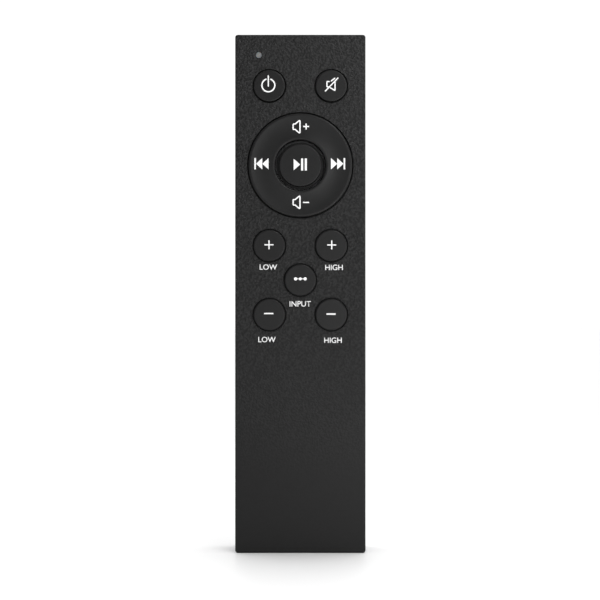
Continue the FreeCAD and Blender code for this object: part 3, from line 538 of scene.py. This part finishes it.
def line(points, width, closed=False):
    """Polygons that draw a line of even width. An open line has round ends."""
    path = [Vector(point) for point in points]
    count = len(path)
    left, right = [], []
    for i, here in enumerate(path):
        after = path[(i + 1) % count] if closed or i < count - 1 else None
        before = path[i - 1] if closed or i else None
        go = (after - here).normalized() if after else (here - before).normalized()
        come = (here - before).normalized() if before else go
        side = Vector((-come.y - go.y, come.x + go.x)).normalized()
        reach = width / 2 / side.dot(Vector((-go.y, go.x)))
        left.append(here + side * reach)
        right.append(here - side * reach)
    last = count if closed else count - 1
    made = [[right[i], right[(i + 1) % count], left[(i + 1) % count], left[i]] for i in range(last)]
    if not closed:
        for tip, start in ((path[0], left[0]), (path[-1], right[-1])):
            heading = math.degrees(math.atan2(start.y - tip.y, start.x - tip.x))
            made.append(arc(tip, width / 2, heading, heading + 180, 10))
    return made


def plus_sign(centre, length_across, width):
    """Two crossing bars as one outline."""
    reach, half = length_across / 2, width / 2
    corners = []
    for turn in range(4):
        cos, sin = round(math.cos(turn * math.pi / 2)), round(math.sin(turn * math.pi / 2))
        for x, z in ((reach, -half), (reach, half), (half, half)):
            corners.append((centre[0] + x * cos - z * sin, centre[1] + x * sin + z * cos))
    return [corners]


def minus_sign(centre, length_across, width):
    reach, half = length_across / 2, width / 2
    return bar(centre[0] - reach, centre[1] - half, centre[0] + reach, centre[1] + half)


def speaker(centre_z):
    """A loudspeaker in outline: a small box and the cone that opens from it to the right."""
    outline = [
        (-2.1, centre_z - 0.79), (-1.5, centre_z - 0.79), (-0.1, centre_z - 2.0),
        (-0.1, centre_z + 2.0), (-1.5, centre_z + 0.79), (-2.1, centre_z + 0.79),
    ]
    return line(rounded(outline, 0.25, closed=True), 0.36, closed=True)


def power_sign():
    ring = arc((-0.3, 0.1), 1.88, 112, 428)
    return line(ring, 0.38) + line([(-0.3, -0.12), (-0.3, 2.8)], 0.36)


def mute_sign():
    box_side = rounded([(-0.62, 1.2), (-1.27, 1.2), (-1.27, -0.38), (-0.85, -0.38)], 0.25)
    cone = rounded([(-0.28, -0.62), (1.08, -1.42), (1.08, 1.1)], 0.15)
    upper_edge = [(-0.02, 1.36), (1.0, 2.13)]
    slash = [(-1.7, -1.55), (1.93, 2.22)]
    return [part for path in (box_side, cone, upper_edge, slash) for part in line(path, 0.34)]


def play_sign():
    arrow = [[(-1.94, -1.47), (-0.06, 0.18), (-1.94, 1.83)]]
    return arrow + bar(0.22, -1.57, 0.82, 1.93) + bar(1.29, -1.57, 1.9, 1.93)


def source_sign():
    dots = disc((-1.38, 0.35), 0.47) + disc((0, 0.35), 0.42) + disc((1.39, 0.35), 0.47)
    return dots + bar(-0.95, 0.24, -0.4, 0.46) + bar(0.4, 0.24, 0.96, 0.46)


def skip_sign(side, inner):
    """Two arrowheads and a bar, pointing to that side. The first arrowhead's base is at inner."""
    middle = 0.42
    foot, top = middle - 1.65, middle + 1.65
    made = []
    for base in (inner, inner + 1.82):
        tip = base + 1.8
        made.append([(side * base, foot), (side * tip, middle), (side * base, top)])
    low, high = sorted((side * (inner + 3.68), side * (inner + 4.12)))
    return made + bar(low, foot, high, top)


# Name of the sign, the CAD node it is printed on, and its drawing
SIGNS = (
    ("power_sign", "power_key", power_sign()),
    ("mute_sign", "mute_key", mute_sign()),
    ("play_sign", "play_key", play_sign()),
    ("source_sign", "source_key", source_sign()),
    ("bass_up_sign", "bass_up_key", plus_sign((-0.1, 0.25), 2.6, 0.34)),
    ("treble_up_sign", "treble_up_key", plus_sign((0.13, 0.2), 2.6, 0.34)),
    ("bass_down_sign", "bass_down_key", minus_sign((-0.19, 0.32), 2.7, 0.38)),
    ("treble_down_sign", "treble_down_key", minus_sign((-0.07, 0.17), 2.68, 0.44)),
    ("volume_up_sign", "volume_ring", speaker(11.17) + plus_sign((1.68, 11.24), 1.74, 0.36)),
    ("volume_down_sign", "volume_ring", speaker(-10.8) + minus_sign((1.66, -10.83), 1.75, 0.34)),
    ("previous_sign", "volume_ring", skip_sign(-1, 9.25)),
    ("next_sign", "volume_ring", skip_sign(1, 8.9)),
)

# Each word, the key it stands under, how far under and how far aside of it, in millimetres
WORDS = (
    ("bass_up_word", "LOW", "bass_up_key", 6.3, -0.4),
    ("treble_up_word", "HIGH", "treble_up_key", 6.4, 0.8),
    ("source_word", "INPUT", "source_key", 7.0, -0.1),
    ("bass_down_word", "LOW", "bass_down_key", 7.35, -0.8),
    ("treble_down_word", "HIGH", "treble_down_key", 7.55, 0.5),
)


def centre_of(node):
    low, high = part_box(node)
    return (low + high) / 2


def body_with(node):
    """The name of the body that carries a node."""
    bodies = frame["record"]["behaviour"]["bodies"]
    return next(name for name, members in bodies.items() if node in members)


# Somewhere in front of the whole object, from which to look back at its faces
IN_FRONT = -1.0


def lay_on_face(mesh, node, grid):
    """Cuts a flat sheet into a grid and presses it onto the front of a node."""
    ink = print_settings()
    cad = NODES[node].data
    face = BVHTree.FromPolygons([v.co for v in cad.vertices], [p.vertices for p in cad.polygons])
    sheet = bmesh.new()
    sheet.from_mesh(mesh)
    for axis in (0, 2):
        values = [v.co[axis] for v in sheet.verts]
        low, high = min(values), max(values)
        direction = Vector((axis == 0, 0, axis == 2))
        for i in range(1, math.ceil((high - low) / grid)):
            geometry = sheet.verts[:] + sheet.edges[:] + sheet.faces[:]
            place = direction * (low + i * grid)
            bmesh.ops.bisect_plane(sheet, geom=geometry, plane_co=place, plane_no=direction)
    for vertex in sheet.verts:
        start = Vector((vertex.co.x, IN_FRONT, vertex.co.z))
        hit = face.ray_cast(start, Vector((0, 1, 0)))[0]
        vertex.co.y = hit.y - ink.lift
    sheet.to_mesh(mesh)
    sheet.free()


def print_piece(name, mesh, node, material, grid):
    """Presses a flat mesh onto a node, thickens it and lets it ride with that node's body."""
    lay_on_face(mesh, node, grid)
    made = bpy.data.objects.new(name, mesh)
    bpy.context.scene.collection.objects.link(made)
    thicken = made.modifiers.new("Thickness", "SOLIDIFY")
    thicken.thickness = print_settings().thickness
    thicken.offset = 0.0
    mesh.materials.clear()
    mesh.materials.append(material)
    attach(made, body_with(node))


def sign_mesh(name, polygons, middle):
    """A flat mesh in X and Z, facing the front."""
    sheet = bmesh.new()
    for polygon in polygons:
        corners = [(middle.x + x * MM, 0, middle.z + z * MM) for x, z in polygon]
        sheet.faces.new([sheet.verts.new(corner) for corner in corners])
    bmesh.ops.remove_doubles(sheet, verts=sheet.verts, dist=0.001 * MM)
    bmesh.ops.recalc_face_normals(sheet, faces=sheet.faces)
    for face in sheet.faces:
        if face.normal.y > 0:
            face.normal_flip()
    mesh = bpy.data.meshes.new(name)
    sheet.to_mesh(mesh)
    sheet.free()
    return mesh


# How much the letters' outlines are moved out, as a share of the letter size
BOLDNESS = 0.012


def word_mesh(name, text, middle):
    """A word in plain capitals, upright and facing the front."""
    letters = bpy.data.curves.new(name, "FONT")
    letters.body = text
    letters.align_x = "CENTER"
    letters.align_y = "CENTER"
    letters.offset = BOLDNESS
    holder = bpy.data.objects.new(name + "_text", letters)
    bpy.context.scene.collection.objects.link(holder)
    bpy.context.view_layer.update()
    evaluated = holder.evaluated_get(bpy.context.evaluated_depsgraph_get())
    mesh = bpy.data.meshes.new_from_object(evaluated)
    scale = Matrix.Scale(print_settings().letter_height / holder.dimensions.y, 4)
    bpy.data.objects.remove(holder)
    upright = Matrix.Rotation(math.radians(90), 4, "X")
    mesh.transform(Matrix.Translation(middle) @ upright @ scale)
    return mesh


# Lights, camera and floor

SUN_WIDTH = math.radians(75)
SUN_TILT = math.radians(-18)
FLOOR_RADIUS = 4.0
# How far the room's change from dim to bright reaches on either side of the object
FADE_REACH = 0.5
# Name of the light, its place, the place it faces, its width and height, and the name of its power
SOFT_LIGHTS = (
    ("right_strip", (0.09, -0.30, 0.11), (0, 0, 0.10), (0.03, 0.2), "right_power"),
    ("left_strip", (-0.09, -0.30, 0.11), (0, 0, 0.10), (0.03, 0.2), "left_power"),
    ("top_light", (0.07, -0.12, 0.22), (0, 0, 0.13), (0.06, 0.05), "top_power"),
    ("low_light", (0.05, -0.20, 0.03), (0, 0, 0.015), (0.12, 0.03), "low_power"),
    ("side_light", (0.4, 0, 0.12), (0, 0, 0.10), (0.3, 0.3), "side_power"),
)


def soft_light(name, place, aim, size, power):
    """A plain rectangular soft box, out of sight of the camera."""
    light = bpy.data.lights.new(name, "AREA")
    light.shape = "RECTANGLE"
    light.size, light.size_y = size
    light.energy = power
    holder = bpy.data.objects.new(name, light)
    holder.location = place
    heading = Vector(aim) - Vector(place)
    holder.rotation_euler = heading.to_track_quat("-Z", "Y").to_euler()
    holder.visible_camera = False
    bpy.context.scene.collection.objects.link(holder)


def overhead_light(strength):
    """A broad light from above and behind, which whitens the floor and shades it in front."""
    sun = bpy.data.lights.new("overhead", "SUN")
    sun.energy = strength
    sun.angle = SUN_WIDTH
    holder = bpy.data.objects.new("overhead", sun)
    holder.location = (0, 0, 1)
    holder.rotation_euler = (SUN_TILT, 0, 0)
    bpy.context.scene.collection.objects.link(holder)


def room_glow(front, back):
    """A plain room, bright behind the object and dim behind the camera, by compass direction."""
    world = bpy.data.worlds.new("room")
    bpy.context.scene.world = world
    world.use_nodes = True
    nodes, links = world.node_tree.nodes, world.node_tree.links
    split = nodes.new("ShaderNodeSeparateXYZ")
    links.new(nodes.new("ShaderNodeTexCoord").outputs["Generated"], split.inputs["Vector"])
    fade = nodes.new("ShaderNodeMapRange")
    fade.interpolation_type = "SMOOTHSTEP"
    fade.inputs["From Min"].default_value = -FADE_REACH
    fade.inputs["From Max"].default_value = FADE_REACH
    fade.inputs["To Min"].default_value = front
    fade.inputs["To Max"].default_value = back
    links.new(split.outputs["Y"], fade.inputs["Value"])
    links.new(fade.outputs["Result"], nodes["Background"].inputs["Strength"])
    nodes["Background"].inputs["Color"].default_value = (1, 1, 1, 1)


def floor_finish(tone):
    """A plain white satin sheet."""
    made = Recipe("studio_floor", tone, 0.5)
    fibres = made.noise(0.4, 2.0)
    made.colour_by(fibres, shade(tone, 0.99), shade(tone, 1.01)).gloss(0.5)
    return made.material


def lay_floor(tone):
    """A broad round sheet for the object to stand on."""
    sheet = bmesh.new()
    bmesh.ops.create_circle(sheet, cap_ends=True, radius=FLOOR_RADIUS, segments=96)
    mesh = bpy.data.meshes.new("floor")
    sheet.to_mesh(mesh)
    sheet.free()
    mesh.materials.append(floor_finish(tone))
    floor = bpy.data.objects.new("floor", mesh)
    bpy.context.scene.collection.objects.link(floor)


def set_camera(studio):
    """A level camera in front, as far off as the width of the view asks for."""
    camera = bpy.data.cameras.new("studio_camera")
    camera.lens = studio.lens
    camera.clip_start = 0.01
    face_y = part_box("front_case")[0].y
    distance = studio.view_width / camera.sensor_width * studio.lens
    holder = bpy.data.objects.new("studio_camera", camera)
    holder.location = (-0.1 * MM, face_y - distance, studio.eye_height)
    holder.rotation_euler = (math.radians(90), 0, 0)
    bpy.context.scene.collection.objects.link(holder)
    bpy.context.scene.camera = holder


# Operators


class REMOTE_OT_moulded_finishes(bpy.types.Operator):
    """Give the case, keys, silicone, electronics and contacts their finishes"""

    bl_idname = "remote.moulded_finishes"
    bl_label = "Finish the moulded and fitted parts"

    def execute(self, context):
        made = {slot: finish() for slot, finish in FINISHES.items()}
        for node, slot in NODE_SLOTS.items():
            if slot in made:
                dress(node, made[slot])
        return {"FINISHED"}


class REMOTE_OT_cell_films(bpy.types.Operator):
    """Give each cell its printed film"""

    bl_idname = "remote.cell_films"
    bl_label = "Finish the cells' films"

    def execute(self, context):
        dress("left_cell_sleeve", cell_sleeve("left_cell_sleeve", plus_up=True))
        dress("right_cell_sleeve", cell_sleeve("right_cell_sleeve", plus_up=False))
        return {"FINISHED"}


class REMOTE_OT_key_signs(bpy.types.Operator):
    """Print the signs on the keys and the ring"""

    bl_idname = "remote.key_signs"
    bl_label = "Print the key signs"

    def execute(self, context):
        material = printed_ink()
        grid = print_settings().grid
        for name, node, polygons in SIGNS:
            print_piece(name, sign_mesh(name, polygons, centre_of(node)), node, material, grid)
        return {"FINISHED"}


# The case's face is flat, so a word on it needs no cuts: one grid square covers it
NO_CUTS = 1.0


class REMOTE_OT_case_words(bpy.types.Operator):
    """Print the plain words under the lower keys"""

    bl_idname = "remote.case_words"
    bl_label = "Print the words"

    def execute(self, context):
        material = printed_ink()
        for name, text, key, drop, aside in WORDS:
            middle = centre_of(key) + Vector((aside * MM, 0, -drop * MM))
            print_piece(name, word_mesh(name, text, middle), "front_case", material, NO_CUTS)
        return {"FINISHED"}


class REMOTE_OT_studio(bpy.types.Operator):
    """Lay the floor and set the lights and the camera"""

    bl_idname = "remote.studio"
    bl_label = "Set up the studio"

    def execute(self, context):
        studio = context.scene.remote_studio
        lay_floor(studio.floor)
        room_glow(studio.front_glow, studio.back_glow)
        overhead_light(studio.overhead)
        for name, place, aim, size, power in SOFT_LIGHTS:
            soft_light(name, place, aim, size, getattr(studio, power))
        set_camera(studio)
        context.scene.view_settings.view_transform = "Standard"
        return {"FINISHED"}


class REMOTE_PT_panel(bpy.types.Panel):
    """Steps that finish the remote control"""

    bl_label = "Remote control"
    bl_space_type = "VIEW_3D"
    bl_region_type = "UI"
    bl_category = "Remote"

    def draw(self, context):
        for step in STEPS:
            self.layout.operator(step.bl_idname)
        for group_name in GROUPS:
            group = getattr(context.scene, group_name)
            box = self.layout.box()
            for name in group.bl_rna.properties.keys():
                if name not in ("rna_type", "name"):
                    box.prop(group, name)


STEPS = (
    REMOTE_OT_moulded_finishes,
    REMOTE_OT_cell_films,
    REMOTE_OT_key_signs,
    REMOTE_OT_case_words,
    REMOTE_OT_studio,
)
GROUPS = {
    "remote_print": REMOTE_PG_print,
    "remote_plastic": REMOTE_PG_plastic,
    "remote_studio": REMOTE_PG_studio,
}


def register():
    for made in (*GROUPS.values(), *STEPS, REMOTE_PT_panel):
        bpy.utils.register_class(made)
    for name, group in GROUPS.items():
        setattr(bpy.types.Scene, name, bpy.props.PointerProperty(type=group))


def unregister():
    for name in GROUPS:
        delattr(bpy.types.Scene, name)
    for made in reversed((*GROUPS.values(), *STEPS, REMOTE_PT_panel)):
        bpy.utils.unregister_class(made)


def main():
    register()
    bpy.ops.remote.moulded_finishes()
    bpy.ops.remote.cell_films()
    bpy.ops.remote.key_signs()
    bpy.ops.remote.case_words()
    bpy.ops.remote.studio()


if __name__ == "__main__":
    main()
